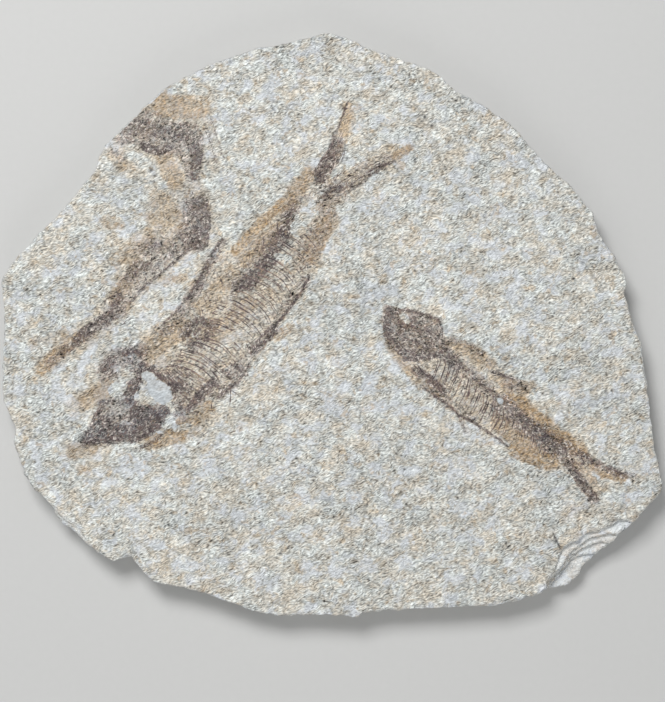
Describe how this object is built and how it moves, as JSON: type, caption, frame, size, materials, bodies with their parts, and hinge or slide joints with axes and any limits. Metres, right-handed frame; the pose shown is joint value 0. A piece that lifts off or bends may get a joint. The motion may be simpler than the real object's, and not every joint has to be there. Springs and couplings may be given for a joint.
{
  "type": "fossil fish slab",
  "caption": "Split plate of laminated limestone with a layered broken rim, holding fossil fishes in its upper face, resting on its flat back.",
  "frame": {"origin": "under the middle of the slab, on the plane of its flat back", "axes": "+X along the face's length, +Y across it, +Z out of the split face"},
  "size_m": [0.1908, 0.1696, 0.0107],
  "materials": {
    "limestone": "matt, finely granular pale grey limestone with cream and tan mottling",
    "large_fish_bone": "dull to slightly waxy brown fossil bone, darker on skull and backbone",
    "small_fish_bone": "dull to slightly waxy brown fossil bone, ochre towards the tail",
    "bent_fish_bone": "thin worn grey-brown film of fossil bone"
  },
  "bodies": {
    "root": {"slab": "limestone", "large_fish": "large_fish_bone", "small_fish": "small_fish_bone", "bent_fish": "bent_fish_bone"}
  },
  "joints": []
}
